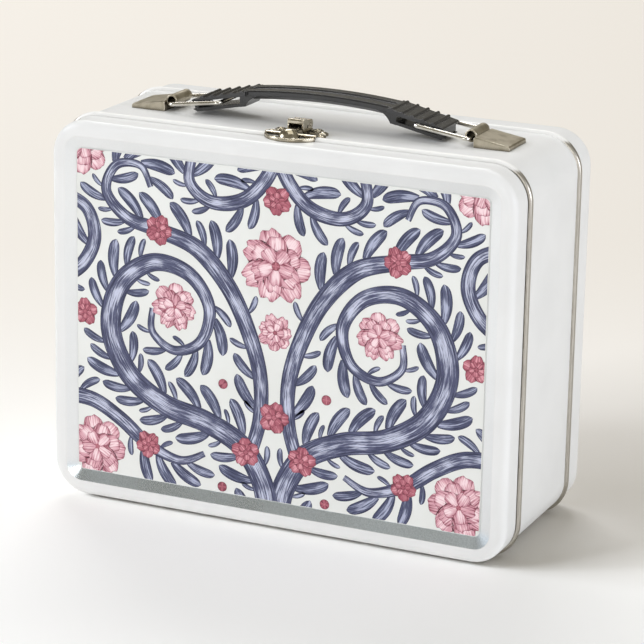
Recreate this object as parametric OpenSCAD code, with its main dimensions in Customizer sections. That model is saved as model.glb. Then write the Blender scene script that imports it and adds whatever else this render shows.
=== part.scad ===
// Metal lunch box: tin carry case with a hinged front cover, a top latch and a folding wire-bail handle.
// Millimetres, +Z up, +X to the right, front cover towards -Y, origin at the centre of the base.

/* [Case] */
// Width of the covers and the band
case_w = 220; // [200:1:240]
// Height of the covers and the band
case_h = 174; // [160:1:190]
// Corner radius of the case seen from the front
corner_r = 16.2; // [12:0.1:18]
// Depth of the fixed band between the two seams
band_d = 63.7; // [55:0.1:75]
// Depth of the hinged front cover
front_d = 14; // [12:0.1:18]
// Depth of the fixed rear cover
rear_d = 17.1; // [12:0.1:20]
// Rounding where a cover turns from its skirt to its face
edge_r = 3.7; // [3:0.1:5]
// Thickness of the tin sheet
sheet = 0.7; // [0.6:0.05:0.8]

/* [Covers] */
// Distance from the case outline to the top of the panel's slope
border = 6.6; // [5:0.1:8]
// Width of the slope round the sunk panel
slope_run = 5.4; // [4:0.1:6]
// Depth of the sunk panel
recess_d = 2.1; // [1.5:0.1:3]
// Corner radius at the top of the slope
recess_r = 8; // [7:0.1:10]
// Thickness of the printed insert
insert_t = 0.4; // [0.3:0.1:0.6]

/* [Seams] */
// Radius of the rolled bead round each seam
bead_r = 1.5; // [1.2:0.1:1.8]
// Gap between the hinged cover and the bead
seam_gap = 0.8; // [0.6:0.1:1]
// How far the rims' inner lips stand into the covers
lip_d = 4; // [3:0.1:5]

/* [Hinges] */
// Distance of each base hinge from the centre
hinge_x = 62; // [50:1:75]
// Length of each base hinge
hinge_w = 32; // [26:1:40]
// Radius of the hinge pins
pin_r = 0.75; // [0.7:0.01:0.8]

/* [Handle] */
// How far the handle sits to the right of the case's middle
handle_x = 2; // [0:0.1:2.5]
// Distance between the two bail pivots
pivot_span = 143.6; // [142:0.1:145]
// Distance between the bails' cross bars
bar_span = 93; // [91:0.1:95]
// Radius of the bail wire
wire_r = 0.95; // [0.9:0.01:1]
// Distance between the two long arms of a bail
bail_w = 21; // [20.6:0.1:22]
// Height of the bail pivots over the case
pivot_z = 3.45; // [3.4:0.01:3.6]
// Height of the cross bars over the case
bar_z = 6.9; // [6.8:0.05:7]
// Height of the grip's crown over the case
crown_z = 14.9; // [14.5:0.1:16]
// Width of the grip's middle
grip_w = 15; // [13:0.1:16]
// Width of the ribbed end plates
plate_w = 18.4; // [17:0.1:18.6]
// How far the grip floats to one side along its slots
grip_shift = -0.6; // [-1:0.1:1]
// Number of ribs on each end plate
rib_count = 5; // [3:1:5]

/* [Brackets] */
// Length of the wedge along the case
wedge_l = 16.4; // [14:0.1:18]
// Width of the wedge across the case
wedge_w = 20; // [19:0.1:22]
// Height of the wedge beside the curl
wedge_high = 4.6; // [4.3:0.1:5.2]
// Height of the wedge at its outer end
wedge_low = 2.1; // [1.8:0.1:3]
// Length of the curl that holds the bail
curl_l = 15; // [12:0.1:16]

/* [Latch] */
// Radius of the rosette that the latch is built on
rosette_r = 14; // [13:0.1:15]
// Number of scrolls round the rosette, a multiple of six because two pairs carry the rivets
scroll_count = 12; // [6:6:12]
// Width of the clasp
clasp_w = 7.6; // [7:0.1:9]
// Height of the clasp over the case at its front
clasp_h = 7.3; // [7:0.1:8]

/* [Hidden] */

$fn = 64;
clear = 0.3;                             // free gap between pieces that pass each other
fit = 0.05;                              // running gap of a pin in its bore
over = 1;                                // how far a cutter reaches past what it cuts

// Case
depth = front_d + band_d + rear_d;
mid_z = bead_r + case_h / 2;             // middle of the case, which stands on its beads
top_z = bead_r + case_h;
front_y = -depth / 2;
front_seam = front_y + front_d;
rear_seam = front_seam + band_d;
rear_y = depth / 2;
bead_y = front_seam + bead_r;            // middle of the front bead
rear_bead_y = rear_seam - bead_r;
band_y = (front_seam + rear_seam) / 2;   // middle of the band, where the handle stands
panel_w = case_w - 2 * (border + slope_run);
panel_h = case_h - 2 * (border + slope_run);
lip_gap = 0.4;                           // side gap between a rim's lip and a cover's skirt
flange_d = 13;                           // depth of a rim's flange inside the band

// Hinges
hinge_y = front_seam - 0.5;
knuckle_r = bead_r;
hinge_z = knuckle_r + fit;
knuckle_w = (hinge_w - 2 * clear) / 3;
leaf_l = 9;
leaf_z = bead_r + sheet;
hinge_rivet_x = 9;                       // from the middle of a hinge
hinge_rivet_y = 6.5;                     // from the hinge's axis
rivet_r = 1;
rivet_head_r = 1.3;

// Handle
arch_r = (35.5 * 35.5 + 2.1 * 2.1) / (2 * 2.1);
arch_a = asin(35.5 / arch_r);
plate_start = 34;
plate_end = 60.3;
plate_slope = 0.214;                     // fall of the end plates per millimetre
plate_t = 1.4;
rib_first = 35.9;
rib_step = 4.85;
rib_r = 0.85;
lip_slope = 0.205;
lip_t = 1.4;
lip_end = 60.6;
gusset_w = grip_w - 0.4;
gusset_x = 26;                           // where the grip's middle deepens into its ends
finger_r = 9.4;                          // curve under the gusset
slot_end = 37.5;                         // closed end of the slot under a plate
bail_run = (pivot_span - bar_span) / 2;
bail_rise = bar_z - pivot_z;
bail_l = round(50 * sqrt(bail_run * bail_run + bail_rise * bail_rise)) / 50;
bail_a = atan(bail_rise / bail_run);
bend_r = 2.4;

// Brackets
curl_out = 2.75;
curl_in = curl_out - sheet;
curl_z = pivot_z - wire_r - fit + curl_in;
wedge_in = 2.2;                          // from the bail's pivot to the inner end of the wedge
wedge_x = pivot_span / 2 + wedge_in;
wedge_edge = 0.6;                        // rounding along the wedge's edges
tab_w = 5;
tab_gap = 0.2;

// Latch
rosette_y = front_seam + 6.4;
rosette_t = 0.9;
keeper_t = 0.6;                          // sheet of the keeper in front of the seam
keeper_roll = 0.5;                       // radius along the top of its rolled edge
keeper_rim = 1.6;                        // height of that edge
nose_y = front_seam - 1.1;               // middle of the keeper's dome
nose_r = 4.8;
nose_z = -0.2;
nose_wall = 0.7;
scroll_r = 2.5;
clasp_front = rosette_y - 1;
clasp_t = 0.6;
clasp_foot = 1.15;                       // bottom of the clasp over the case
latch_pin_y = rosette_y + 6.8;
latch_pin_z = 4.1;
latch_pin_r = 0.7;
ear_t = 0.6;
ear_r = 1.15;
ear_x = clasp_w / 2 - clasp_t - 0.1 - ear_t;
tongue_w = 4.8;
detent = 1.1;                            // side of the square snap holes
detent_y = rosette_y + 3.6;
detent_z = 3.7;
scroll_at = rosette_r - scroll_r;        // radius that the scrolls stand on
keeper_r = rosette_r - 0.1;
latch_rivets = [for (a = [30, 150]) [scroll_at * cos(a), rosette_y + scroll_at * sin(a)]];
keeper_rivets = [for (a = [240, 300]) [scroll_at * cos(a), rosette_y + scroll_at * sin(a)]];

tin = "lightsteelblue";
white = "whitesmoke";
nickel = "silver";

// ---- shared forms ----

// Rounded rectangle
module pad(w, h, r) {
    square([w - 2 * r, h], center = true);
    square([w, h - 2 * r], center = true);
    for (x = [-1, 1], y = [-1, 1]) translate([x * (w / 2 - r), y * (h / 2 - r)]) circle(r);
}

// Stands a shape drawn in the front view upright: its height becomes depth along +Y
module upright() {
    translate([0, 0, mid_z]) rotate([90, 0, 0]) mirror([0, 0, 1]) children();
}

// Runs a profile round a rounded rectangle; x is the distance outside the outline, y the depth
module run_round(w, h, r) {
    for (k = [0 : 3]) {
        half = k % 2 == 0 ? w / 2 : h / 2;
        side = k % 2 == 0 ? h : w;
        rotate(90 * k) {
            translate([half, 0, 0]) rotate([90, 0, 0])
                linear_extrude(side - 2 * r, center = true) children();
            translate([half - r, side / 2 - r, 0]) rotate_extrude(angle = 90) translate([r, 0]) children();
        }
    }
}

// Plate from y0 back to y1 with its outline in the front view
module face_plate(y0, y1) {
    upright() translate([0, 0, y0]) linear_extrude(y1 - y0) children();
}

// Bar along X, drawn in the side view: x of the outline is Y, y is Z
module along_x(l) {
    rotate([90, 0, 90]) linear_extrude(l, center = true) children();
}

// Bar along Y, drawn in the front view
module along_y(l) {
    rotate([90, 0, 0]) linear_extrude(l, center = true) children();
}

module rod_x(r, l) {
    rotate([0, 90, 0]) cylinder(r = r, h = l, center = true);
}

module rod_y(r, l) {
    rotate([90, 0, 0]) cylinder(r = r, h = l, center = true);
}

// Domed rivet through a sheet that spans z 0 to -grip
module rivet(grip) {
    head_h = 0.7;
    head_curve = 1.25 * rivet_head_r;    // radius of the dome
    tail_r = 1.6;
    tail_h = 0.6;
    intersection() {
        translate([0, 0, head_h - head_curve]) sphere(head_curve);
        cylinder(r = rivet_head_r, h = 2 * head_h);
    }
    translate([0, 0, -grip - tail_h / 2]) cylinder(r = rivet_r, h = grip + tail_h);
    translate([0, 0, -grip - tail_h]) cylinder(r = tail_r, h = tail_h);
}

// Bores for a pair of rivets through the top of the case
module rivet_bores(places) {
    for (p = places) translate([p[0], p[1], top_z]) cylinder(r = rivet_r + fit, h = 4, center = true);
}

// ---- case ----

// Pressed tin cover: skirt, rolled edge, flat border, slope and sunk panel, facing -Y
module cover_shell(cover_d) {
    upright() {
        run_round(case_w, case_h, corner_r) {
            translate([-sheet, edge_r]) square([sheet, cover_d - edge_r]);
            intersection() {
                translate([-edge_r, edge_r]) difference() {
                    circle(edge_r);
                    circle(edge_r - sheet);
                }
                translate([-edge_r, 0]) square(edge_r);
            }
        }
        linear_extrude(sheet) difference() {
            pad(case_w - 2 * edge_r, case_h - 2 * edge_r, corner_r - edge_r);
            pad(case_w - 2 * border, case_h - 2 * border, recess_r);
        }
        run_round(case_w - 2 * border, case_h - 2 * border, recess_r)
            polygon([[0, 0], [-slope_run, recess_d], [-slope_run, recess_d + sheet], [0, sheet]]);
        translate([0, 0, recess_d]) linear_extrude(sheet) pad(panel_w, panel_h, recess_r - slope_run);
    }
}

module front_cover() {
    color(white) difference() {
        translate([0, front_y, 0]) cover_shell(front_d - seam_gap);
        for (s = [-1, 1]) {
            translate([s * hinge_x, hinge_y, hinge_z]) {
                cube([hinge_w + 2 * clear, 2 * (knuckle_r + clear), 4], center = true);
                for (x = [-hinge_rivet_x, hinge_rivet_x])
                    translate([x, -hinge_rivet_y, 0]) cylinder(r = rivet_r + fit, h = 4, center = true);
            }
        }
        rivet_bores(keeper_rivets);
    }
}

module rear_cover() {
    color(white) translate([0, rear_y, 0]) mirror([0, 1, 0]) cover_shell(rear_d);
}

module front_insert() {
    color("lavender") face_plate(front_y + recess_d - insert_t, front_y + recess_d)
        pad(panel_w - 0.4, panel_h - 0.4, recess_r - slope_run);
}

module body_band() {
    color(white) difference() {
        face_plate(front_seam + bead_r, rear_seam - bead_r) difference() {
            pad(case_w, case_h, corner_r);
            pad(case_w - 2 * sheet, case_h - 2 * sheet, corner_r - sheet);
        }
        for (s = [-1, 1]) {
            for (t = [-1, 1])
                translate([handle_x + s * (wedge_x + wedge_l / 2), band_y + t * (wedge_w - sheet) / 2, top_z])
                    cube([tab_w + 2 * tab_gap, sheet + 2 * tab_gap, 4], center = true);
            for (x = [-hinge_rivet_x, hinge_rivet_x])
                translate([s * hinge_x + x, hinge_y + hinge_rivet_y, bead_r])
                    cylinder(r = rivet_r + fit, h = 4, center = true);
        }
        rivet_bores(latch_rivets);
    }
}

// Bare tin rim: rolled bead outside, socket for the band's edge, lip that guides the cover
module rim(cover_skirt) {
    upright() run_round(case_w, case_h, corner_r) {
        difference() {
            circle(bead_r);
            translate([-sheet, 0]) square([sheet, bead_r + over]);
        }
        translate([-2 * sheet, 0]) square([sheet, flange_d]);
        translate([-2 * sheet - lip_gap, -lip_d - bead_r]) square([sheet, lip_d + bead_r]);
        if (cover_skirt) translate([-sheet - lip_gap, -bead_r]) square([sheet + lip_gap, bead_r]);
    }
}

module front_rim() {
    notch_w = 16;                        // the lip is cut away over the keeper's rivets
    notch_y = 3.1;
    color(tin) difference() {
        translate([0, bead_y, 0]) rim(false);
        for (s = [-1, 1])
            translate([s * hinge_x - hinge_w / 2 - clear, hinge_y - 9, -over])
                cube([hinge_w + 2 * clear, leaf_l + 9 + clear, 6]);
        translate([-notch_w / 2, bead_y - lip_d - bead_r - over, top_z - 3])
            cube([notch_w, lip_d + bead_r + over - notch_y, 3]);
        rivet_bores(latch_rivets);
    }
}

module rear_rim() {
    color(tin) translate([0, rear_bead_y, 0]) mirror([0, 1, 0]) rim(true);
}

// ---- base hinges ----

// Leaf of a base hinge: knuckles on the axis and a flat leaf on the inside of the tin.
// dir is +1 for the leaf in the band and -1 for the leaf in the cover.
module hinge_leaf(dir, knuckles) {
    difference() {
        union() {
            for (k = knuckles) translate([k * (knuckle_w + clear), 0, 0]) {
                rod_x(knuckle_r, knuckle_w);
                translate([-knuckle_w / 2, dir < 0 ? -knuckle_r - 1 : 0, leaf_z - hinge_z])
                    cube([knuckle_w, knuckle_r + 1, sheet]);
            }
            translate([-hinge_w / 2, dir < 0 ? -leaf_l : knuckle_r + clear, leaf_z - hinge_z])
                cube([hinge_w, leaf_l - knuckle_r - clear, sheet]);
        }
        rod_x(pin_r + fit, hinge_w + 2);
        for (x = [-hinge_rivet_x, hinge_rivet_x])
            translate([x, dir * hinge_rivet_y, 0]) cylinder(r = rivet_r + fit, h = 6, center = true);
    }
}

module hinge_place(side) {
    translate([side * hinge_x, hinge_y, hinge_z]) children();
}

module hinge_body_leaf(side) {
    color(nickel) hinge_place(side) hinge_leaf(1, [-1, 1]);
}

module hinge_cover_leaf(side) {
    color(nickel) hinge_place(side) hinge_leaf(-1, [0]);
}

module hinge_pin(side) {
    color(nickel) hinge_place(side) rod_x(pin_r, hinge_w + 0.4);
}

module hinge_rivets(dir) {
    color(nickel) for (s = [-1, 1], x = [-hinge_rivet_x, hinge_rivet_x])
        translate([s * hinge_x + x, hinge_y + dir * hinge_rivet_y, leaf_z + sheet]) rivet(2 * sheet);
}

// ---- handle ----

// Pressed bracket: hollow wedge with flanges all round, clinched tabs and the curl for the bail
module bracket() {
    difference() {
        union() {
            wedge(0);
            translate([0, 0, curl_z]) rod_y(curl_out, curl_l);
        }
        wedge(sheet);
        translate([0, 0, curl_z]) rod_y(curl_in, curl_l + 2);
        translate([-curl_out - 0.2, 0, curl_z - curl_out]) rotate([0, 35, 0])
            cube([1.2, curl_l + 2, 3], center = true);
    }
    for (t = [-1, 1]) translate([wedge_in + wedge_l / 2, t * (wedge_w - sheet) / 2, 0]) {
        translate([0, 0, 0.5 - sheet]) cube([tab_w, sheet, 2 * sheet + 1], center = true);
        translate([0, -t * 1.2, -1.5 * sheet]) cube([tab_w, 2.4 + sheet, sheet], center = true);
    }
}

// Outer form of the wedge, or with a wall given the space inside it
module wedge(wall) {
    x0 = wedge_in + wall;
    x1 = wedge_in + wedge_l - wall;
    z0 = wall > 0 ? -over : 0;
    high = wedge_high - wall;
    low = wedge_low - wall;
    half = wedge_w / 2 - wall;
    e = wedge_edge;
    difference() {
        along_y(2 * half) polygon([
            [x0, z0], [x1, z0], [x1, low - e], [x1 - e, low], [x0 + e, high], [x0, high - e]
        ]);
        for (t = [-1, 1]) translate([x0, t * half, high]) rotate([0, atan((high - low) / (x1 - x0)), 0])
            rotate([45, 0, 0]) cube([3 * wedge_l, e, e], center = true);
    }
}

module bracket_place(side) {
    translate([handle_x, band_y, top_z]) mirror([side < 0 ? 1 : 0, 0, 0])
        translate([pivot_span / 2, 0, 0]) children();
}

module side_bracket(side) {
    color(nickel) bracket_place(side) bracket();
}

// Closed wire loop: pivot bar in the curl, two arms, cross bar in the grip's slot
module bail() {
    rotate([0, bail_a, 0]) translate([-bail_l / 2, 0, 0]) run_round(bail_l, bail_w, bend_r) circle(wire_r);
}

module side_bail(side) {
    color("gainsboro") bracket_place(side) translate([0, 0, pivot_z]) bail();
}

// Height of the flat of an end plate, and of the underside of the lower lip, over the case
function plate_top(x) = 12.05 - plate_slope * (x - rib_first);
function lip_under(x) = 5.65 - lip_slope * (x - 35.4);

// Section of the grip's middle: a wide cap with a shallow groove and a narrower keel
module grip_section() {
    w = grip_w / 2;
    polygon([
        [-4.1, -w + 2.6], [-4.1, w - 2.6], [-2.3, w], [-0.6, w], [0, w - 0.7], [0, 2.7], [-0.7, 1.9],
        [-0.7, -1.9], [0, -2.7], [0, -w + 0.7], [-0.6, -w], [-2.3, -w]
    ]);
}

// One end of the grip: ribbed plate, gusset, slot, lower lip and the stop that holds the cross bar in
module grip_end() {
    along_y(plate_w) polygon([
        [plate_start, plate_top(plate_start) + 0.3], [plate_end - 0.6, plate_top(plate_end)],
        [plate_end, plate_top(plate_end) - 0.5], [plate_end - 0.2, plate_top(plate_end) - plate_t],
        [plate_start, plate_top(plate_start) - plate_t - 0.3]
    ]);
    for (k = [0 : rib_count - 1]) {
        x = rib_first + k * rib_step;
        translate([x, 0, plate_top(x)]) rod_y(rib_r, plate_w);
    }
    difference() {
        along_y(gusset_w) polygon([
            [gusset_x, 11.2], [gusset_x, 13], [slot_end, plate_top(slot_end) - 0.5],
            [slot_end, lip_under(slot_end)], [35.2, lip_under(35.2)], [30, 5]
        ]);
        translate([gusset_x + 0.2, 0, 1.9]) rod_y(finger_r, grip_w + 2);
    }
    along_y(gusset_w - 0.4) polygon([
        [slot_end - 2, lip_under(slot_end - 2) + 0.05], [lip_end - 2.3, lip_under(lip_end - 2.3)],
        [lip_end, lip_under(lip_end) + lip_t], [lip_end - 0.6, lip_under(lip_end - 0.6) + lip_t + 0.2],
        [slot_end - 2, lip_under(slot_end - 2) + lip_t]
    ]);
    along_y(bail_w - 7) polygon([
        [plate_end - 3, plate_top(plate_end - 3) - plate_t / 2],
        [plate_end - 0.6, plate_top(plate_end) - plate_t / 2],
        [plate_end - 0.6, lip_under(plate_end) + lip_t + 0.6],
        [plate_end - 2.4, lip_under(plate_end) + lip_t + 0.6]
    ]);
}

module handle_grip() {
    color("dimgray") translate([handle_x + grip_shift, band_y, top_z]) {
        translate([0, 0, crown_z - arch_r]) rotate([90, 0, 0]) rotate(90 - arch_a)
            rotate_extrude(angle = 2 * arch_a, $fn = 720) translate([arch_r, 0]) grip_section();
        for (s = [0, 1]) mirror([s, 0, 0]) grip_end();
    }
}

// ---- latch ----

// Scrolled outline of the rosette
module rosette_outline() {
    circle(scroll_at + 0.3);
    for (k = [0 : scroll_count - 1])
        rotate(k * 360 / scroll_count) translate([scroll_at, 0]) circle(scroll_r);
}

// Raised work on the rosette: a rolled ring, and a small scroll with a bead on each lobe
module rosette_relief() {
    rotate_extrude() translate([scroll_at - scroll_r - 0.6, rosette_t]) circle(0.45);
    for (k = [0 : scroll_count - 1]) rotate(k * 360 / scroll_count)
        translate([scroll_at, 0, rosette_t]) {
            rotate_extrude() translate([scroll_r - 0.75, 0]) circle(0.4);
            intersection() {
                translate([0, 0, -0.3]) sphere(0.9);
                translate([-1, -1, -0.3]) cube([2, 2, 2]);
            }
        }
}

module rosette() {
    translate([0, rosette_y, top_z]) {
        linear_extrude(rosette_t) rosette_outline();
        rosette_relief();
    }
}

// Space in front of (-1) or behind (1) a plane across the case
module half_space(y, dir) {
    translate([-50, dir > 0 ? y : y - 50, top_z - 20]) cube([100, 50, 40]);
}

module latch_body_plate() {
    roll_in = bead_r + 0.15;
    color(nickel) difference() {
        union() {
            intersection() {
                rosette();
                half_space(bead_y, 1);
            }
            intersection() {
                translate([0, bead_y, top_z]) rod_x(roll_in + 0.7, 24);
                half_space(front_seam + 0.1, 1);
                translate([-50, front_seam - 5, top_z]) cube([100, 20, 5]);
            }
            for (s = [-1, 1]) translate([s * (ear_x + ear_t / 2), latch_pin_y, top_z])
                along_x(ear_t) {
                    translate([0, latch_pin_z]) circle(ear_r);
                    translate([-ear_r, 0]) square([ear_r + 0.5, latch_pin_z]);
                }
        }
        translate([0, bead_y, top_z]) rod_x(roll_in, 60);
        translate([0, latch_pin_y, top_z + latch_pin_z]) rod_x(latch_pin_r + fit, 20);
        rivet_bores(latch_rivets);
    }
}

// Dished round front of the latch on the cover: a rolled edge, a domed nose and the tongue that
// snaps into the clasp
module latch_keeper_plate() {
    tongue_y = nose_y + 1.8;
    color(nickel) difference() {
        union() {
            intersection() {
                translate([0, rosette_y, top_z]) {
                    cylinder(r = keeper_r, h = keeper_t);
                    rotate_extrude() translate([keeper_r - keeper_roll, 0]) {
                        translate([-keeper_roll, 0]) square([2 * keeper_roll, keeper_rim - keeper_roll]);
                        translate([0, keeper_rim - keeper_roll]) circle(keeper_roll);
                    }
                }
                half_space(hinge_y, -1);
            }
            translate([0, nose_y, top_z + nose_z]) intersection() {
                difference() {
                    sphere(nose_r);
                    sphere(nose_r - nose_wall);
                }
                translate([-nose_r, -nose_r, -nose_z]) cube(2 * nose_r);
            }
            translate([0, 0, top_z]) along_x(tongue_w) polygon([
                [tongue_y, 3], [tongue_y, 3.7],
                [detent_y - 1, detent_z + 0.6], [detent_y + 1, detent_z + 0.5],
                [detent_y + 1, detent_z - 0.5], [detent_y - 1, detent_z - 0.4]
            ]);
            translate([0, detent_y, top_z + detent_z]) rod_x(detent / 2 - 0.15, clasp_w - 2 * clasp_t - 0.2);
        }
        translate([-20, hinge_y + 0.1, top_z - over]) cube([40, 12, over + 2.7]);
        rivet_bores(keeper_rivets);
    }
}

// Outline of the clasp's side plates, Y and Z
module clasp_side(inset) {
    translate([latch_pin_y, latch_pin_z]) circle(2.3 - inset);
    polygon([
        [clasp_front + inset, clasp_foot + 1.6], [clasp_front + 1.4, clasp_foot - inset],
        [latch_pin_y - 1.2, clasp_foot + 0.6 - inset], [latch_pin_y + 2.3 - inset, latch_pin_z],
        [latch_pin_y + 1.6 - inset, 5.9 - inset],
        [clasp_front + 1, clasp_h - inset], [clasp_front + inset, clasp_h - 0.6]
    ]);
}

module latch_clasp() {
    color(nickel) translate([0, 0, top_z]) difference() {
        along_x(clasp_w) clasp_side(0);
        difference() {
            along_x(clasp_w - 2 * clasp_t) square(80, center = true);
            along_x(clasp_w) polygon([
                [clasp_front - over, clasp_h - 1.9], [clasp_front + clasp_t, clasp_h - 1.9],
                [clasp_front + clasp_t, clasp_h - clasp_t], [latch_pin_y + 1.4, 5.9 - clasp_t],
                [latch_pin_y + 1.4, 9], [clasp_front - over, 9]
            ]);
        }
        translate([0, detent_y, detent_z]) cube([20, detent, detent], center = true);
        translate([0, latch_pin_y, latch_pin_z]) rod_x(latch_pin_r + fit, 20);
    }
}

module latch_pin() {
    color(nickel) translate([0, latch_pin_y, top_z + latch_pin_z]) rod_x(latch_pin_r, clasp_w + 0.6);
}

module latch_body_rivets() {
    color(nickel) for (p = latch_rivets)
        translate([p[0], p[1], top_z + rosette_t]) rivet(rosette_t + 2 * sheet);
}

module latch_cover_rivets() {
    color(nickel) for (p = keeper_rivets)
        translate([p[0], p[1], top_z + keeper_t]) rivet(keeper_t + sheet);
}

body_band();
front_rim();
rear_rim();
front_cover();
rear_cover();
front_insert();
hinge_body_leaf(-1);  // left_hinge_body_leaf
hinge_body_leaf(1);  // right_hinge_body_leaf
hinge_cover_leaf(-1);  // left_hinge_cover_leaf
hinge_cover_leaf(1);  // right_hinge_cover_leaf
hinge_pin(-1);  // left_hinge_pin
hinge_pin(1);  // right_hinge_pin
hinge_rivets(1);  // hinge_body_rivets
hinge_rivets(-1);  // hinge_cover_rivets
side_bracket(-1);  // left_bracket
side_bracket(1);  // right_bracket
side_bail(-1);  // left_bail
side_bail(1);  // right_bail
handle_grip();
latch_body_plate();
latch_keeper_plate();
latch_clasp();
latch_pin();
latch_body_rivets();
latch_cover_rivets();
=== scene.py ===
import math
import random

import bmesh
import bpy
from mathutils import Matrix, Vector


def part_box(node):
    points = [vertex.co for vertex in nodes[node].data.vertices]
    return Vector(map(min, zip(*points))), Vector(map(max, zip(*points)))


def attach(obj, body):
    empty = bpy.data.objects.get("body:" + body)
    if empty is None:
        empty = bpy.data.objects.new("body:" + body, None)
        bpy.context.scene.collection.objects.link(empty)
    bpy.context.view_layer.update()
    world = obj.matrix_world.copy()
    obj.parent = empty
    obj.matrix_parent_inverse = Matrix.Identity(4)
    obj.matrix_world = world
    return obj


mm = 0.001
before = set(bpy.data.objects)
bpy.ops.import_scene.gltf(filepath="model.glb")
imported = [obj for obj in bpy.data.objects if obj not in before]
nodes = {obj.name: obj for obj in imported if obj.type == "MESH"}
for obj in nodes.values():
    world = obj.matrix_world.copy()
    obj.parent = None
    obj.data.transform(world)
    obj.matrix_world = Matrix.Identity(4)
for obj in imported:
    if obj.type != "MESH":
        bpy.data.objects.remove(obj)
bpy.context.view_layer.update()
coverLow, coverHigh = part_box("front_cover")
insertLow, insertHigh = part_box("front_insert")
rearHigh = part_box("rear_cover")[1]
insertMiddle = (insertLow + insertHigh) / 2
insertFront = insertLow.y
print("frame loaded")


viewpoint = {
    "place": (0.5076, -1.1268, 0.4534),
    "lookAt": (0.0017, 0.0, 0.0846),
    "roll": 1.04,  # degrees
    "lens": 160.6,
    "sensor": 36,
}


def makeCamera():
    lens = bpy.data.cameras.new("camera")
    lens.sensor_width = viewpoint["sensor"]
    lens.lens = viewpoint["lens"]
    camera = bpy.data.objects.new("camera", lens)
    bpy.context.scene.collection.objects.link(camera)
    place = Vector(viewpoint["place"])
    ahead = (Vector(viewpoint["lookAt"]) - place).to_track_quat("-Z", "Y").to_matrix()
    turned = ahead @ Matrix.Rotation(math.radians(viewpoint["roll"]), 3, "Z")
    camera.matrix_world = Matrix.Translation(place) @ turned.to_4x4()
    bpy.context.scene.camera = camera


makeCamera()


def tone(red, green, blue):
    return tuple(((c / 255 + 0.055) / 1.055) ** 2.4 for c in (red, green, blue)) + (1.0,)


def newMaterial(name):
    material = bpy.data.materials.new(name)
    material.use_nodes = True
    return material, material.node_tree, material.node_tree.nodes["Principled BSDF"]


def plug(tree, value, socket):
    if isinstance(value, bpy.types.NodeSocket):
        tree.links.new(value, socket)
    elif value is not None:
        socket.default_value = value


def calc(tree, operation, a, b=None, c=None, clamp=False):
    node = tree.nodes.new("ShaderNodeMath")
    node.operation = operation
    node.use_clamp = clamp
    for value, socket in zip((a, b, c), node.inputs):
        plug(tree, value, socket)
    return node.outputs[0]


def blend(tree, factor, a, b):
    node = tree.nodes.new("ShaderNodeMix")
    node.data_type = "RGBA"
    sockets = node.inputs[0], node.inputs[6], node.inputs[7]  # the factor and the two colours
    for value, socket in zip((factor, a, b), sockets):
        plug(tree, value, socket)
    return node.outputs[2]


def between(tree, value, low, high, outLow=0.0, outHigh=1.0):
    node = tree.nodes.new("ShaderNodeMapRange")
    node.interpolation_type = "SMOOTHSTEP"
    for item, socket in zip((value, low, high, outLow, outHigh), node.inputs):
        plug(tree, item, socket)
    return node.outputs[0]


def stretched(tree, source, scale):
    node = tree.nodes.new("ShaderNodeVectorMath")
    node.operation = "MULTIPLY"
    plug(tree, source, node.inputs[0])
    plug(tree, scale, node.inputs[1])
    return node.outputs[0]


def noise(tree, source, scale=1.0, detail=2.0, roughness=0.5):
    node = tree.nodes.new("ShaderNodeTexNoise")
    plug(tree, source, node.inputs["Vector"])
    node.inputs["Scale"].default_value = scale
    node.inputs["Detail"].default_value = detail
    node.inputs["Roughness"].default_value = roughness
    return node.outputs["Fac"]


def objectPoint(tree):
    node = tree.nodes.new("ShaderNodeTexCoord")
    return stretched(tree, node.outputs["Object"], (1 / mm, 1 / mm, 1 / mm))


def axesOf(tree, vector):
    split = tree.nodes.new("ShaderNodeSeparateXYZ")
    plug(tree, vector, split.inputs[0])
    return split.outputs


def bumpFrom(tree, height, strength, distance, normal=None):
    node = tree.nodes.new("ShaderNodeBump")
    node.inputs["Strength"].default_value = strength
    node.inputs["Distance"].default_value = distance
    plug(tree, height, node.inputs["Height"])
    plug(tree, normal, node.inputs["Normal"])
    return node.outputs[0]


def newGroup(name, inputs, outputs):
    group = bpy.data.node_groups.new(name, "ShaderNodeTree")
    for label, kind, default in inputs:
        socket = group.interface.new_socket(label, in_out="INPUT", socket_type=kind)
        socket.default_value = default
    for label, kind in outputs:
        group.interface.new_socket(label, in_out="OUTPUT", socket_type=kind)
    given = group.nodes.new("NodeGroupInput").outputs
    out = group.nodes.new("NodeGroupOutput").inputs
    return group, given, out


def place(tree, group, **values):
    node = tree.nodes.new("ShaderNodeGroup")
    node.node_tree = group
    for key, value in values.items():
        plug(tree, value, node.inputs[key])
    return node.outputs


studio = {
    # the floor is painted lighter near the camera and darker and warmer away from it: painted
    # light falloff
    "floorNear": (254, 253, 251),
    "floorFar": (238, 232, 223),
    "floorSize": 14.0,
    "floorRoughness": 0.85,
    "away": (-0.41, 0.912),  # x and y of the way that the camera looks across the floor
    "fade": (-0.25, 0.5),  # metres along it over which near turns to far
    "skyLevel": 0.28,
    "backLevel": 0.86,  # the air as the camera sees it, over the far edge of the floor
    "skyColour": (1.0, 0.93, 0.77),
}

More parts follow.
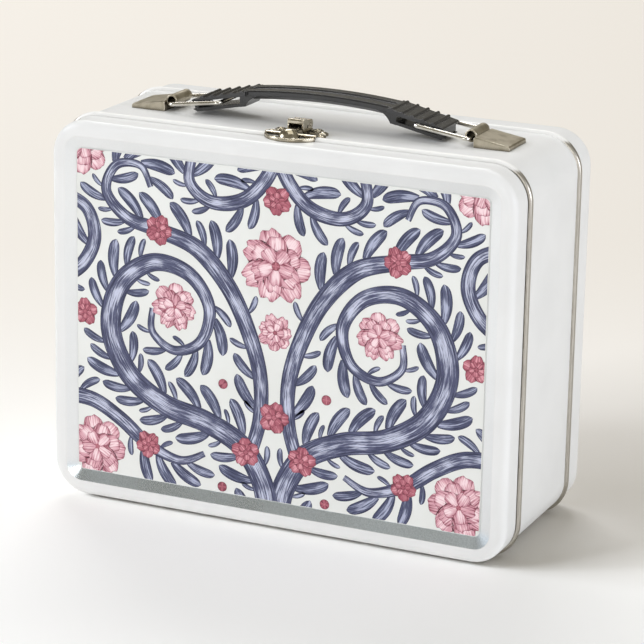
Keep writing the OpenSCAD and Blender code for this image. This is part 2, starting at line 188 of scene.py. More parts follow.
# Each lamp: place, aim, size, power, colour and what it lights.
lamps = {
    "keyLeft": ((-6.2, -2.4, 3.2), (0, 0, 0.05), (3.6, 2.4), 285.0, (0.94, 0.985, 1.08), "all"),
    "fillRight": ((4.6, -1.6, 0.9), (0, 0, 0.1), (2.8, 1.2), 124.0, (0.94, 0.985, 1.08), "part"),
    "fillFront": ((0.4, -5.2, 0.8), (0, 0, 0.1), (2.4, 1.2), 44.0, (1.0, 1.0, 1.0), "part"),
    "overhead": ((0.6, 0.6, 4.2), (0, 0, 0), (3.0, 3.0), 58.0, (0.98, 1.0, 1.01), "part"),
    "rear": ((-2.2, 3.9, 4.7), (0, 0.4, 0), (3.6, 2.0), 140.0, (1.0, 1.0, 1.02), "all"),
    "floorWash": (
        *((-5.0, -4.5, 3.8), (0.1, -0.2, 0), (3.6, 2.4)),
        *(370.0, (0.95, 0.995, 1.055), "floor"),
    ),
}


def makeFloor():
    mesh = bpy.data.meshes.new("studioFloor")
    half = studio["floorSize"] / 2
    corners = [(-half, -half, 0), (half, -half, 0), (half, half, 0), (-half, half, 0)]
    mesh.from_pydata(corners, [], [(0, 1, 2, 3)])
    floor = bpy.data.objects.new("studioFloor", mesh)
    bpy.context.scene.collection.objects.link(floor)
    material, tree, surface = newMaterial("studioPaper")
    axes = axesOf(tree, tree.nodes.new("ShaderNodeTexCoord").outputs["Object"])
    # Painted light: the colour runs from the lighter near floor to the darker far floor.
    away = [calc(tree, "MULTIPLY", axes[k], studio["away"][k]) for k in (0, 1)]
    far = between(tree, calc(tree, "ADD", *away), *studio["fade"])
    colour = blend(tree, far, tone(*studio["floorNear"]), tone(*studio["floorFar"]))
    surface.inputs["Roughness"].default_value = studio["floorRoughness"]
    plug(tree, colour, surface.inputs["Base Color"])
    mesh.materials.append(material)
    return floor


def makeLight(name, place, target, size, power, colour, receivers):
    data = bpy.data.lights.new(name, "AREA")
    data.shape = "RECTANGLE"
    data.size, data.size_y = size
    data.energy = power
    data.color = colour
    lamp = bpy.data.objects.new(name, data)
    bpy.context.scene.collection.objects.link(lamp)
    aim = (Vector(target) - Vector(place)).to_track_quat("-Z", "Y").to_matrix()
    lamp.matrix_world = Matrix.Translation(Vector(place)) @ aim.to_4x4()
    lamp.light_linking.receiver_collection = receivers


def makeSky():
    world = bpy.data.worlds.new("studioAir")
    bpy.context.scene.world = world
    world.use_nodes = True
    tree = world.node_tree
    sky = tree.nodes["Background"]
    sky.inputs["Color"].default_value = studio["skyColour"] + (1.0,)
    seen = tree.nodes.new("ShaderNodeLightPath").outputs["Is Camera Ray"]
    more = studio["backLevel"] - studio["skyLevel"]
    strength = calc(tree, "MULTIPLY_ADD", seen, more, studio["skyLevel"])
    plug(tree, strength, sky.inputs["Strength"])


floor = makeFloor()
lit = {"all": None}  # which objects a lamp reaches
for label, state in (("floor", "INCLUDE"), ("part", "EXCLUDE")):
    lit[label] = bpy.data.collections.new(label + "Light")
    lit[label].objects.link(floor)
    lit[label].collection_objects[0].light_linking.link_state = state
makeSky()
for name, (spot, aim, size, power, colour, target) in lamps.items():
    makeLight(name, spot, aim, size, power, colour, lit[target])
bpy.context.scene.view_settings.view_transform = "Standard"
print("studio set")


softEdgeLook = {"radius": 0.0003, "samples": 6, "worn": (0.99, 0.8)}


def makeSoftEdge():
    inputs = [("Radius", "NodeSocketFloat", softEdgeLook["radius"])]
    outputs = [("Normal", "NodeSocketVector"), ("Edge", "NodeSocketFloat")]
    group, given, out = newGroup("softEdge", inputs, outputs)
    bevel = group.nodes.new("ShaderNodeBevel")
    bevel.samples = softEdgeLook["samples"]
    plug(group, given["Radius"], bevel.inputs["Radius"])
    shape = group.nodes.new("ShaderNodeNewGeometry")
    dot = group.nodes.new("ShaderNodeVectorMath")
    dot.operation = "DOT_PRODUCT"
    plug(group, bevel.outputs[0], dot.inputs[0])
    plug(group, shape.outputs["True Normal"], dot.inputs[1])
    plug(group, bevel.outputs[0], out["Normal"])
    plug(group, between(group, dot.outputs["Value"], *softEdgeLook["worn"]), out["Edge"])
    return group


grainLook = {"detail": 3.0, "Fine": 0.6, "Broad": 0.55}


def makeGrain():
    inputs = [
        ("Point", "NodeSocketVector", (0, 0, 0)),
        ("Fine", "NodeSocketVector", (1, 1, 1)),
        ("Broad", "NodeSocketVector", (0.05, 0.05, 0.05)),
    ]
    outputs = [("Fine", "NodeSocketFloat"), ("Broad", "NodeSocketFloat")]
    group, given, out = newGroup("surfaceGrain", inputs, outputs)
    for kind in ("Fine", "Broad"):
        source = stretched(group, given["Point"], given[kind])
        plug(group, noise(group, source, 1.0, grainLook["detail"], grainLook[kind]), out[kind])
    return group


softEdge = makeSoftEdge()
surfaceGrain = makeGrain()


def finishNode(names, material):
    for name in names:
        nodes[name].data.materials.clear()
        nodes[name].data.materials.append(material)


# Each finish: colours, grain per millimetre, bump, and roughness as its least value and its swing.
enamelLook = {
    "colours": ((229, 229, 228), (224, 224, 223)),
    "change": (0.35, 0.7),  # the grain level over which the first colour turns to the second
    "fine": (1.3, 1.3, 1.3),
    "broad": (0.025, 0.025, 0.025),
    "edge": 0.0006,
    "bump": (0.06, 0.0002),  # strength and distance
    "roughness": (0.36, 0.12),
    "specular": 0.3,
    "coat": 0.12,
    "coatRoughness": 0.15,
}

slopeLook = {  # the pressed slope round the sunk panel, bare satin metal, in millimetres
    "colours": ((220, 229, 236), (202, 212, 219)),
    "change": (0.35, 0.65),
    "grain": (1.6, 1.6, 1.6),
    "border": 6.6,  # from the outline to the top of the slope
    "radius": 8.0,
    "bare": 0.5,  # how much metal shows on the slopes other than the lower one
    "depth": 6,  # how far back from the front it can lie
    "blend": (-0.1, -0.45),
    "lower": (11, 5),  # above the bottom of the slope, where the lower slope fades in
    "sharpness": 3.0,
    "gloss": 0.14,
}


def grainOf(tree, look, point):
    return place(tree, surfaceGrain, Point=point, Fine=look["fine"], Broad=look["broad"])


def twoTone(tree, look, level):
    first, second = look["colours"]
    return blend(tree, between(tree, level, *look["change"]), tone(*first), tone(*second))


def roughOf(tree, look, level):
    least, swing = look["roughness"]
    return calc(tree, "MULTIPLY_ADD", level, swing, least)


def slopeMask(tree, point, front):
    axes = axesOf(tree, point)
    across = calc(tree, "ABSOLUTE", axes[0])
    up = calc(tree, "ABSOLUTE", calc(tree, "SUBTRACT", axes[2], insertMiddle.z / mm))
    halfWide = (coverHigh.x - coverLow.x) / 2 / mm - slopeLook["border"]
    halfHigh = (coverHigh.z - coverLow.z) / 2 / mm - slopeLook["border"]
    radius = slopeLook["radius"]
    dx = calc(tree, "MAXIMUM", calc(tree, "SUBTRACT", across, halfWide - radius), 0.0)
    dz = calc(tree, "MAXIMUM", calc(tree, "SUBTRACT", up, halfHigh - radius), 0.0)
    squares = [calc(tree, "MULTIPLY", d, d) for d in (dx, dz)]
    corner = calc(tree, "SQRT", calc(tree, "ADD", *squares))
    sides = [calc(tree, "SUBTRACT", across, halfWide), calc(tree, "SUBTRACT", up, halfHigh)]
    inside = calc(tree, "MAXIMUM", *sides)
    ring = calc(tree, "MAXIMUM", inside, calc(tree, "SUBTRACT", corner, radius))
    facing = axesOf(tree, tree.nodes.new("ShaderNodeTexCoord").outputs["Normal"])
    test = "LESS_THAN" if front < 0 else "GREATER_THAN"  # the outer side alone
    near = calc(tree, test, axes[1], front)
    outward = calc(tree, test, facing[1], 0.0)
    faces = calc(tree, "MULTIPLY", near, outward)
    below = calc(tree, "SUBTRACT", insertMiddle.z / mm, axes[2])
    start, end = slopeLook["lower"]
    low = between(tree, below, halfHigh - start, halfHigh - end)
    bare = calc(tree, "MULTIPLY_ADD", low, 1 - slopeLook["bare"], slopeLook["bare"])
    onSlope = calc(tree, "MULTIPLY", between(tree, ring, *slopeLook["blend"]), faces)
    return calc(tree, "MULTIPLY", onSlope, bare)


def makeEnamel(name, front=None):
    material, tree, surface = newMaterial(name)
    point = objectPoint(tree)
    grain = grainOf(tree, enamelLook, point)
    edge = place(tree, softEdge, Radius=enamelLook["edge"])
    colour = twoTone(tree, enamelLook, grain["Broad"])
    rough = roughOf(tree, enamelLook, grain["Broad"])
    coat = enamelLook["coat"]
    if front is None:
        surface.inputs["Coat Weight"].default_value = coat
    else:
        metal = slopeMask(tree, point, front)
        sand = noise(tree, stretched(tree, point, slopeLook["grain"]), 1.0, 3.0, 0.7)
        share = calc(tree, "POWER", metal, slopeLook["sharpness"])
        colour = blend(tree, share, colour, twoTone(tree, slopeLook, sand))
        rough = calc(tree, "MULTIPLY_ADD", metal, -slopeLook["gloss"], rough)
        painted = calc(tree, "MULTIPLY_ADD", metal, -coat, coat)
        plug(tree, painted, surface.inputs["Coat Weight"])
        plug(tree, metal, surface.inputs["Metallic"])
    surface.inputs["Coat Roughness"].default_value = enamelLook["coatRoughness"]
    surface.inputs["Specular IOR Level"].default_value = enamelLook["specular"]
    normal = bumpFrom(tree, grain["Fine"], *enamelLook["bump"], edge["Normal"])
    plug(tree, colour, surface.inputs["Base Color"])
    plug(tree, rough, surface.inputs["Roughness"])
    plug(tree, normal, surface.inputs["Normal"])
    return material


tinLook = {
    "colours": ((196, 191, 182), (150, 145, 136)),
    "change": (0.3, 0.75),
    "fine": (0.15, 14.0, 0.15),
    "broad": (0.06, 0.3, 0.06),
    "bump": (0.15, 0.0002),
    "roughness": (0.28, 0.2),
    "topHighlight": (236, 235, 232),
    "topHighlightFrom": (3.4, 1.4),  # millimetres under the top, where a painted white highlight runs over the tin, standing in for the overhead light that the top of the rim catches
}


def makeTin():
    material, tree, surface = newMaterial("bareTin")
    point = objectPoint(tree)
    grain = grainOf(tree, tinLook, point)
    # Painted highlight: near the top the rim turns white and loses its metal, in place of the
    # overhead light that it reflects.
    start, end = (coverHigh.z / mm - depth for depth in tinLook["topHighlightFrom"])
    painted = between(tree, axesOf(tree, point)[2], start, end)
    colour = twoTone(tree, tinLook, grain["Fine"])
    colour = blend(tree, painted, colour, tone(*tinLook["topHighlight"]))
    plug(tree, colour, surface.inputs["Base Color"])
    plug(tree, calc(tree, "SUBTRACT", 1.0, painted), surface.inputs["Metallic"])
    plug(tree, roughOf(tree, tinLook, grain["Broad"]), surface.inputs["Roughness"])
    plug(tree, bumpFrom(tree, grain["Fine"], *tinLook["bump"]), surface.inputs["Normal"])
    return material


plating = {  # what the three plated finishes share
    "fine": (2.2, 2.2, 2.2),
    "broad": (0.18, 0.18, 0.18),
    "change": (0.4, 0.75),
    "bump": (0.04, 0.0002),
    "worn": (244, 238, 224),
    "wornShare": 0.5,
    # painted shade in recesses: its colour, then the occlusion levels over which it comes in
    "recessShade": (70, 62, 48),
    "hollow": (0.85, 0.3),
}

plateLook = plating | {
    "colours": ((198, 190, 172), (140, 129, 106)),
    "roughness": (0.15, 0.12),
    "edge": 0.0004,
    "recess": 0.003,
}

bracketLook = plating | {
    "colours": ((196, 188, 170), (160, 151, 130)),
    "roughness": (0.25, 0.12),
    "edge": 0.0005,
    "recess": 0.003,
}

wireLook = plating | {
    "colours": ((232, 229, 221), (190, 184, 171)),
    "roughness": (0.09, 0.12),
    "edge": 0.0002,
    "recess": 0.002,
}


def makePlate(name, look):
    material, tree, surface = newMaterial(name)
    grain = grainOf(tree, look, objectPoint(tree))
    edge = place(tree, softEdge, Radius=look["edge"])
    colour = twoTone(tree, look, grain["Broad"])
    worn = calc(tree, "MULTIPLY", edge["Edge"], look["wornShare"])
    colour = blend(tree, worn, colour, tone(*look["worn"]))
    # Painted shade: the colour darkens to dark brown where ambient occlusion finds a recess, where
    # shade falls.
    hollow = tree.nodes.new("ShaderNodeAmbientOcclusion")
    hollow.samples = 8
    hollow.inputs["Distance"].default_value = look["recess"]
    paintedShade = between(tree, hollow.outputs["AO"], *look["hollow"])
    colour = blend(tree, paintedShade, colour, tone(*look["recessShade"]))
    normal = bumpFrom(tree, grain["Fine"], *look["bump"], edge["Normal"])
    plug(tree, colour, surface.inputs["Base Color"])
    surface.inputs["Metallic"].default_value = 1.0
    plug(tree, roughOf(tree, look, grain["Fine"]), surface.inputs["Roughness"])
    plug(tree, normal, surface.inputs["Normal"])
    return material


gripLook = {
    "colours": ((27, 27, 29), (40, 40, 41)),
    "change": (0.3, 0.8),
    "fine": (2.6, 2.6, 2.6),
    "broad": (0.12, 0.12, 0.12),
    "edge": 0.0003,
    "bump": (0.08, 0.0003),
    "roughness": (0.15, 0.15),
    "specular": 0.75,
    "worn": (96, 96, 96),
    "wornShare": 0.5,
}


def makeGrip():
    material, tree, surface = newMaterial("blackPlastic")
    grain = grainOf(tree, gripLook, objectPoint(tree))
    edge = place(tree, softEdge, Radius=gripLook["edge"])
    colour = twoTone(tree, gripLook, grain["Broad"])
    worn = calc(tree, "MULTIPLY", edge["Edge"], gripLook["wornShare"])
    colour = blend(tree, worn, colour, tone(*gripLook["worn"]))
    normal = bumpFrom(tree, grain["Fine"], *gripLook["bump"], edge["Normal"])
    plug(tree, colour, surface.inputs["Base Color"])
    plug(tree, roughOf(tree, gripLook, grain["Fine"]), surface.inputs["Roughness"])
    surface.inputs["Specular IOR Level"].default_value = gripLook["specular"]
    plug(tree, normal, surface.inputs["Normal"])
    return material


sheetLook = {
    "colours": ((230, 231, 228), (225, 226, 222)),
    "change": (0.3, 0.7),
    "fine": (0.9, 0.9, 0.9),
    "broad": (0.03, 0.03, 0.03),
    "bump": (0.05, 0.0002),
    "roughness": (0.33, 0.1),
}


def makeSheetGround():
    material, tree, surface = newMaterial("printedSheet")
    grain = grainOf(tree, sheetLook, objectPoint(tree))
    plug(tree, twoTone(tree, sheetLook, grain["Broad"]), surface.inputs["Base Color"])
    plug(tree, roughOf(tree, sheetLook, grain["Broad"]), surface.inputs["Roughness"])
    plug(tree, bumpFrom(tree, grain["Fine"], *sheetLook["bump"]), surface.inputs["Normal"])
    return material


finishNode(["body_band"], makeEnamel("whiteEnamel"))
finishNode(["front_cover"], makeEnamel("frontEnamel", coverLow.y / mm + slopeLook["depth"]))
finishNode(["rear_cover"], makeEnamel("rearEnamel", rearHigh.y / mm - slopeLook["depth"]))
finishNode(["front_rim", "rear_rim"], makeTin())
finishNode(["front_insert"], makeSheetGround())
plated = [name for name in nodes if "hinge_" in name or name.startswith("latch_")]
brackets = [name for name in nodes if "bracket" in name]
finishNode(plated, makePlate("nickelPlate", plateLook))
finishNode(brackets, makePlate("bracketPlate", bracketLook))
finishNode(["left_bail", "right_bail"], makePlate("brightWire", wireLook))
finishNode(["handle_grip"], makeGrip())
print("finishes laid")

# The printed panel: vines, leaves and blossoms of flat ink, in millimetres from its middle.
artwork = {
    # points along the middle, then half the width at the start, middle and end
    "vines": [
        (
            [(2, -86), (5, -68), (15, -52), (33, -43), (54, -38), (72, -26), (81, -6), (76, 15)]
            + [(60, 27), (42, 24), (32, 10), (36, -6), (49, -12), (60, -5), (60, 6)],
            (5.4, 5.2, 1.5),
        ),
        (
            [(12, -56), (7, -38), (7, -18), (13, 2), (23, 21), (38, 36)]
            + [(57, 42), (73, 46), (83, 57), (78, 69), (66, 70), (61, 61)],
            (3.2, 4.4, 1.4),
        ),
        ([(106, 14), (95, 22), (89, 35), (93, 48), (106, 54)], (3.4, 3.4, 3.0)),
        ([(106, -40), (90, -41), (76, -48), (62, -58), (46, -63), (34, -58)], (3.8, 3.6, 1.4)),
        ([(-2, 86), (6, 70), (17, 60), (32, 58), (42, 66), (40, 80)], (3.4, 3.4, 2.4)),
    ],
    "blossoms": [(0, 33, 16), (49, 8, 10.5), (88, -63, 14), (95, 77, 13), (0, 3, 8)],
    "rosettes": [
        *((0, -36, 7), (57, 42, 6.5), (13.5, -54, 6.5)),
        *((0, 62, 6.5), (94, 0, 6), (62, -58, 6)),
    ],
    # petals, reach, half width and notch of each layer, as shares of the radius
    "blossomLayers": ((7, 1.0, 0.42, 0.1), (6, 0.76, 0.36, 0.12), (5, 0.5, 0.26, 0.14)),
    "rosetteLayers": ((5, 1.0, 0.52, 0.06), (5, 0.55, 0.34, 0.08)),
    "blossomEye": 0.13,
    "rosetteEye": 0.2,
    "petalRows": 8,
    "petalSides": 6,  # columns on each side of a petal's middle
    "leafLengths": (17, 14, 11.5, 9, 7),
    "leafAngles": (38, 52, 26, 66),
    "leafWidth": 0.165,  # half width for each millimetre of length
    "leafBend": 35,
    "leafSteps": 16,
    "leafRoom": 0.7,  # clear ground round each leaf
    "leafFree": 5,  # steps at a leaf's foot that need no room
    "leafReach": (0.6, 112),  # the nearest and farthest that a leaf comes from the middle line
    "leafStride": 13,  # the strokes of each leaf and vine start this much further on
    "vineStride": 41,
    "mirrorShift": 53,  # so that the two halves' strokes differ
    "berryRadius": 2.3,
    "berryRoom": (1.6, 4),  # clear ground that a berry asks for, and that it then keeps
    "clip": (97.6, 74.6, 2.6),  # half width, half height and corner radius of the printed area
    "heights": {"printedLeaves": 0.02, "printedVines": 0.03, "printedBlossoms": 0.05},
    "inkStep": 0.002,  # each item stands this much over the last
    "eyeRise": 0.05,
    "seed": 11,
}


def evenLine(line, step=1.2):
    total = sum(math.dist(a, b) for a, b in zip(line, line[1:]))
    count = max(4, round(total / step))
    spaced, run = [line[0]], 0.0
    for a, b in zip(line, line[1:]):
        gap = math.dist(a, b)
        while gap and len(spaced) < count and run + gap >= total / count * len(spaced):
            t = (total / count * len(spaced) - run) / gap
            spaced.append((a[0] + (b[0] - a[0]) * t, a[1] + (b[1] - a[1]) * t))
        run += gap
    return spaced + [line[-1]]


def curveAt(t, a, b, c, d):  # a smooth curve from b to c
    square, cube = 2 * a - 5 * b + 4 * c - d, 3 * b - a - 3 * c + d
    return 0.5 * (2 * b + (c - a) * t + square * t * t + cube * t**3)


def smoothLine(points):
    ends = [points[0]] + list(points) + [points[-1]]
    fine = []
    for i in range(1, len(ends) - 2):
        for k in range(16):
            t = k / 16
            fine.append(tuple(curveAt(t, *ordinates) for ordinates in zip(*ends[i - 1 : i + 3])))
    return evenLine(fine + [points[-1]])


def bentLine(base, angle, length, bend):
    x, y = base
    turn = math.radians(angle)
    line = []
    steps = artwork["leafSteps"]
    for k in range(steps + 1):
        line.append((x, y))
        x += math.cos(turn) * length / steps
        y += math.sin(turn) * length / steps
        turn += math.radians(bend) / steps
    return line


def sideways(line):
    steps = []
    for i in range(len(line)):
        a, b = line[max(0, i - 1)], line[min(len(line) - 1, i + 1)]
        span = math.dist(a, b) or 1
        steps.append((-(b[1] - a[1]) / span, (b[0] - a[0]) / span))
    return steps


def vineWidth(start, middle, end):
    def width(t):
        if t < 0.5:
            return start + (middle - start) * t * 2
        return middle + (end - middle) * (t - 0.5) * 2

    return width


def leafShape(wide):
    def width(t):
        tip = 1 if t < 0.8 else math.sqrt(max(0.02, 1 - ((t - 0.8) / 0.2) ** 2))
        return wide * (0.22 + 0.78 * math.sin(math.pi * (0.1 + t * 0.72)) ** 0.9) * tip

    return width


def outlineOf(line, halfWidth, spare=0.0):
    left, right = [], []
    for i, ((x, y), (nx, ny)) in enumerate(zip(line, sideways(line))):
        w = halfWidth(i / (len(line) - 1)) + spare
        left.append((x + nx * w, y + ny * w))
        right.append((x - nx * w, y - ny * w))
    return left + right[::-1]


def onCircle(x, y, radius, angle):
    return x + radius * math.cos(angle), y + radius * math.sin(angle)


def circleOf(x, y, radius):
    return [onCircle(x, y, radius, k * math.pi / 12) for k in range(24)]


def isInside(x, y, outline):
    hit = False
    for (x1, y1), (x2, y2) in zip(outline, outline[1:] + outline[:1]):
        if (y1 > y) != (y2 > y) and x < (x2 - x1) * (y - y1) / (y2 - y1) + x1:
            hit = not hit
    return hit


def cellsOf(outline):  # the square millimetres that an outline covers
    xs, ys = [p[0] for p in outline], [p[1] for p in outline]
    cells = {(round(x), round(y)) for x, y in outline}
    for y in range(math.floor(min(ys)), math.ceil(max(ys)) + 1):
        for x in range(math.floor(min(xs)), math.ceil(max(xs)) + 1):
            if isInside(x, y, outline):
                cells.add((x, y))
    return cells


def findLeaf(base, heading, side, taken):  # the longest leaf that has room here
    for length in artwork["leafLengths"]:
        for angle in artwork["leafAngles"]:
            leaf = bentLine(base, heading + side * angle, length, -side * artwork["leafBend"])
            shape = leafShape(artwork["leafWidth"] * length)
            free = leaf[artwork["leafFree"] :]
            room = outlineOf(free, lambda t: shape(0.3 + 0.7 * t), artwork["leafRoom"])
            across = [p[0] for p in room]
            near, far = artwork["leafReach"]
            inside = min(across) > near and max(map(abs, across)) < far
            if inside and not cellsOf(room) & taken:
                return leaf, shape
    return None


def growLeaves(vines, taken):
    leaves = []
    for line, halfWidth in vines:
        for i in range(2, len(line) - 3, 2):
            (x, y), ahead = line[i], line[i + 1]
            heading = math.degrees(math.atan2(ahead[1] - y, ahead[0] - x))
            for side in (1, -1):
                out = math.radians(heading + 90 * side)
                reach = halfWidth(i / (len(line) - 1)) - 0.6
                base = (x + math.cos(out) * reach, y + math.sin(out) * reach)
                grown = findLeaf(base, heading, side, taken)
                if grown:
                    taken |= cellsOf(outlineOf(*grown))
                    leaves.append(grown)
    return leaves


def newSheet(name):
    height = artwork["heights"][name]
    return {"name": name, "points": [], "ink": [], "faces": [], "height": height}


# Each point carries its ink: the run along, the run across and the distance to the edge.
def addGrid(sheet, rows, mirrored):
    for side in (1, -1)[: 2 if mirrored else 1]:
        first, wide = len(sheet["points"]), len(rows[0])
        for row in rows:
            for x, y, ink in row:
                sheet["points"].append((side * x, y, sheet["height"]))
                away = artwork["mirrorShift"] if side < 0 else 0
                sheet["ink"].append((ink[0] + away, ink[1], ink[2]))
        for r in range(len(rows) - 1):
            for c in range(wide - 1):
                a = first + r * wide + c
                sheet["faces"].append((a, a + 1, a + wide + 1, a + wide))
        sheet["height"] += artwork["inkStep"]


def addRibbon(sheet, line, halfWidth, start):
    rows, run = [], start
    for i, ((x, y), (nx, ny)) in enumerate(zip(line, sideways(line))):
        w = halfWidth(i / (len(line) - 1))
        run += math.dist(line[i - 1], line[i]) if i else 0
        row = []
        for c in (-1, 0, 1):
            row.append((x + nx * w * c, y + ny * w * c, (run, c * w, (1 - abs(c)) * w)))
        rows.append(row)
    addGrid(sheet, rows, True)


def addPetal(sheet, base, angle, length, wide, notch, start, mirrored):
    ca, sa = math.cos(angle), math.sin(angle)
    rows = []
    last, half = artwork["petalRows"], artwork["petalSides"]
    for r in range(last + 1):
        t = r / last
        w = wide * math.sin(math.pi * (0.06 + 0.6 * t)) ** 0.85
        row = []
        for k in range(-half, half + 1):
            turn = k * math.pi / 2 / half
            c, crown = math.sin(turn), math.cos(turn)
            ruffle = 0.03 * math.cos(k * 1.7 + start) - notch * math.exp(-((c / 0.25) ** 2))
            out = length * t * (1 - 0.5 * t * (1 - crown) + t * ruffle)
            edge = min((1 - abs(c)) * w, (1 - t) * length)
            spot = base[0] + ca * out - sa * c * w, base[1] + sa * out + ca * c * w
            row.append((*spot, (start + t * length, c * w, edge)))
        rows.append(row)
    addGrid(sheet, rows, mirrored)


def addDisc(sheet, x, y, radius, start, mirrored):
    rows = []
    for r in range(5):
        reach = radius * r / 4
        row = []
        for k in range(17):
            ink = start + reach, radius * math.sin(k * math.pi / 4), radius - reach
            row.append((*onCircle(x, y, reach, k * math.pi / 8), ink))
        rows.append(row)
    addGrid(sheet, rows, mirrored)


def addBlossom(sheet, x, y, radius, layers, seed):
    turn = seed * 0.7
    for petals, reach, wide, notch in layers:
        for k in range(petals):
            angle = turn + k * 2 * math.pi / petals + random.uniform(-0.06, 0.06)
            length = radius * reach * random.uniform(0.94, 1.06)
            base = onCircle(x, y, 0.08 * radius, angle)
            start = seed * 31 + k * 7
            addPetal(sheet, base, angle, length, radius * wide, notch, start, x > 1)
        turn += math.pi / petals


def clipToPanel(shape):
    halfWide, halfHigh, radius = artwork["clip"]
    for k in range(16):
        nx, nz = round(math.cos(k * math.pi / 8), 6), round(math.sin(k * math.pi / 8), 6)
        cx = math.copysign(halfWide - radius, nx) if nx else 0
        cz = math.copysign(halfHigh - radius, nz) if nz else 0
        outX, outZ = (cx + radius * nx) * mm, (cz + radius * nz) * mm
        spot = (insertMiddle.x + outX, 0, insertMiddle.z + outZ)
        everything = shape.verts[:] + shape.edges[:] + shape.faces[:]
        bmesh.ops.bisect_plane(
            shape, geom=everything, plane_co=spot, plane_no=(nx, 0, nz), clear_outer=True
        )


def inkPiece(sheet, materials, split):
    made = bpy.data.objects.new(sheet["name"], bpy.data.meshes.new(sheet["name"]))
    shape = bmesh.new()
    layer = shape.verts.layers.float_vector.new("ink")
    verts = []
    for (x, y, h), ink in zip(sheet["points"], sheet["ink"]):
        spot = (insertMiddle.x + x * mm, insertFront - h * mm, insertMiddle.z + y * mm)
        verts.append(shape.verts.new(spot))
        verts[-1][layer] = ink
    for i, corners in enumerate(sheet["faces"]):
        face = shape.faces.new([verts[k] for k in corners])
        face.material_index = split(i)
        if face.normal.y > 0:
            face.normal_flip()
    clipToPanel(shape)
    bmesh.ops.remove_doubles(shape, verts=shape.verts[:], dist=2e-7)
    lifted = bmesh.ops.extrude_face_region(shape, geom=shape.faces[:])["geom"]
    raised = {item for item in lifted if isinstance(item, bmesh.types.BMVert)}
    for vert in shape.verts:
        if vert not in raised:
            vert.co.y = insertFront
    bmesh.ops.recalc_face_normals(shape, faces=shape.faces[:])
    shape.to_mesh(made.data)
    shape.free()
    for material in materials:
        made.data.materials.append(material)
    bpy.context.scene.collection.objects.link(made)
    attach(made, "cover")


engravingLook = {
    "strokes": (0.085, 1.6, 0.0),  # along, across
    "swell": (0.075, 0.06, 0.0),
    "contrast": 3.6,
    "middle": (0.1, 0.85),
    "swellRange": (0.36, 0.62, 0.35, 1.0),
    "deep": (-0.3, 0.25),
    "light": (0.3, 1.0),
    "lineFade": 0.45,
    "lineShare": 0.85,
    "mark": (0.5, 0.3),
    "roughness": (0.3, 0.1),
    "bump": (0.1, 0.00003),
}


def makeEngraving():
    inputs = [
        ("Deep", "NodeSocketColor", (0, 0, 0, 1)),
        ("Body", "NodeSocketColor", (0, 0, 0, 1)),
        ("Light", "NodeSocketColor", (1, 1, 1, 1)),
        ("Lit", "NodeSocketFloat", 0.5),
        ("Line", "NodeSocketFloat", 0.3),
    ]
    outputs = [("Colour", "NodeSocketColor"), ("Mark", "NodeSocketFloat")]
    group, given, out = newGroup("engraving", inputs, outputs)
    look = engravingLook
    source = group.nodes.new("ShaderNodeAttribute")
    source.attribute_name = "ink"
    ink = source.outputs["Vector"]
    across, edge = axesOf(group, ink)[1:3]
    width = calc(group, "ADD", calc(group, "ABSOLUTE", across), edge)
    middle = calc(group, "DIVIDE", edge, calc(group, "MAXIMUM", width, 0.05))
    strokes = noise(group, stretched(group, ink, look["strokes"]), 1.0, 3.0, 0.7)
    swell = noise(group, stretched(group, ink, look["swell"]), 1.0, 1.0, 0.5)
    rounded = between(group, middle, *look["middle"])
    lit = calc(group, "MULTIPLY", rounded, between(group, swell, *look["swellRange"]))
    scratch = calc(group, "SUBTRACT", strokes, 0.5)
    lit = calc(group, "MULTIPLY", lit, given["Lit"])
    lit = calc(group, "MULTIPLY_ADD", scratch, look["contrast"], lit)
    colour = blend(group, between(group, lit, *look["deep"]), given["Deep"], given["Body"])
    colour = blend(group, between(group, lit, *look["light"]), colour, given["Light"])
    inner = calc(group, "MULTIPLY", given["Line"], look["lineFade"])
    line = between(group, edge, given["Line"], inner)
    shown = calc(group, "MULTIPLY", line, look["lineShare"])
    mark = calc(group, "MAXIMUM", line, between(group, strokes, *look["mark"]))
    plug(group, blend(group, shown, colour, given["Deep"]), out["Colour"])
    plug(group, mark, out["Mark"])
    return group


engraving = makeEngraving()


# Each ink: deep, body and light colours, how lit it is, and its outline in millimetres.
inks = {
    "blueInk": ((38, 41, 72), (76, 80, 111), (196, 200, 220), 0.85, 0.4),
    "leafInk": ((38, 41, 72), (72, 77, 107), (176, 181, 205), 0.8, 0.34),
    "pinkInk": ((138, 60, 80), (214, 158, 170), (246, 220, 224), 1.0, 0.3),
    "redInk": ((112, 42, 60), (172, 90, 106), (220, 156, 166), 0.75, 0.26),
}


def makeInk(name):
    deep, body, light, lit, line = inks[name]
    material, tree, surface = newMaterial(name)
    colours = {"Deep": tone(*deep), "Body": tone(*body), "Light": tone(*light)}
    marks = place(tree, engraving, **colours, Lit=lit, Line=line)
    plug(tree, marks["Colour"], surface.inputs["Base Color"])
    plug(tree, roughOf(tree, engravingLook, marks["Mark"]), surface.inputs["Roughness"])
    plug(tree, bumpFrom(tree, marks["Mark"], *engravingLook["bump"]), surface.inputs["Normal"])
    return material


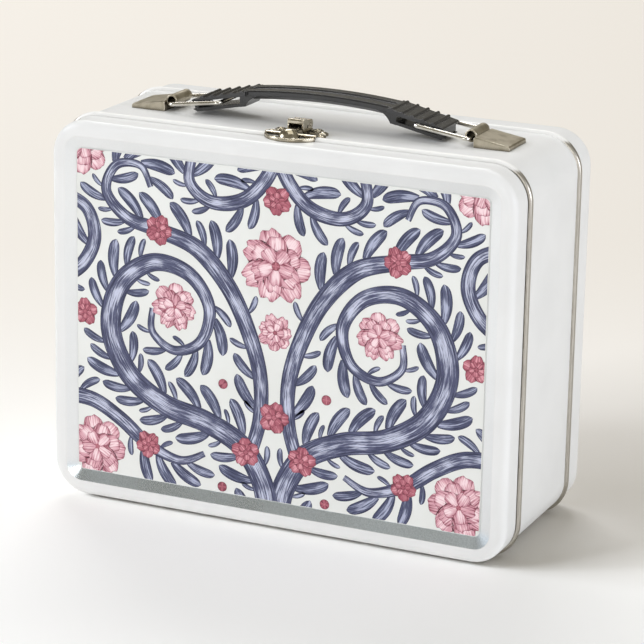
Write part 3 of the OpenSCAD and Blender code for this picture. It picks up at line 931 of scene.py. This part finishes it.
def plantGarden():  # the vines and leaves, and the ground that they and the flowers take
    vines = [(smoothLine(points), vineWidth(*widths)) for points, widths in artwork["vines"]]
    taken = set()
    for line, halfWidth in vines:
        taken |= cellsOf(outlineOf(line, halfWidth))
    for x, y, radius in artwork["blossoms"] + artwork["rosettes"]:
        taken |= cellsOf(circleOf(x, y, radius + 0.5))
    return vines, growLeaves(vines, taken), taken


def addFlowers(sheet):
    ground = sheet["height"]
    for i, (x, y, radius) in enumerate(artwork["blossoms"]):
        sheet["height"] = ground
        addBlossom(sheet, x, y, radius, artwork["blossomLayers"], i)
    pinkFaces = len(sheet["faces"])
    for i, (x, y, radius) in enumerate(artwork["rosettes"]):
        sheet["height"] = ground
        addBlossom(sheet, x, y, radius, artwork["rosetteLayers"], i + 9)
        addDisc(sheet, x, y, radius * artwork["rosetteEye"], i, x > 1)
    for i, (x, y, radius) in enumerate(artwork["blossoms"]):
        sheet["height"] = ground + artwork["eyeRise"]
        addDisc(sheet, x, y, radius * artwork["blossomEye"], i, x > 1)
    return pinkFaces


def addBerries(sheet, taken):
    spots = [(x, y) for x in range(4, 97, 3) for y in range(-72, 74, 3)]
    random.shuffle(spots)
    radius = artwork["berryRadius"]
    wanted, kept = artwork["berryRoom"]
    for x, y in spots:
        if not cellsOf(circleOf(x, y, radius + wanted)) & taken:
            taken |= cellsOf(circleOf(x, y, radius + kept))
            addDisc(sheet, x, y, radius, x + y, True)


def makeArtwork():
    random.seed(artwork["seed"])
    vines, leaves, taken = plantGarden()
    sheet = newSheet("printedLeaves")
    ground = sheet["height"]
    for i, (line, shape) in enumerate(leaves):
        addRibbon(sheet, line, shape, i * artwork["leafStride"])
        sheet["height"] = ground
    inkPiece(sheet, [makeInk("leafInk")], lambda i: 0)
    sheet = newSheet("printedVines")
    for i, (line, halfWidth) in enumerate(vines[::-1]):
        addRibbon(sheet, line, halfWidth, i * artwork["vineStride"])
    inkPiece(sheet, [makeInk("blueInk")], lambda i: 0)
    sheet = newSheet("printedBlossoms")
    pinkFaces = addFlowers(sheet)
    addBerries(sheet, taken)
    flowerInks = [makeInk("pinkInk"), makeInk("redInk")]
    inkPiece(sheet, flowerInks, lambda i: 0 if i < pinkFaces else 1)


makeArtwork()
print("panel printed")
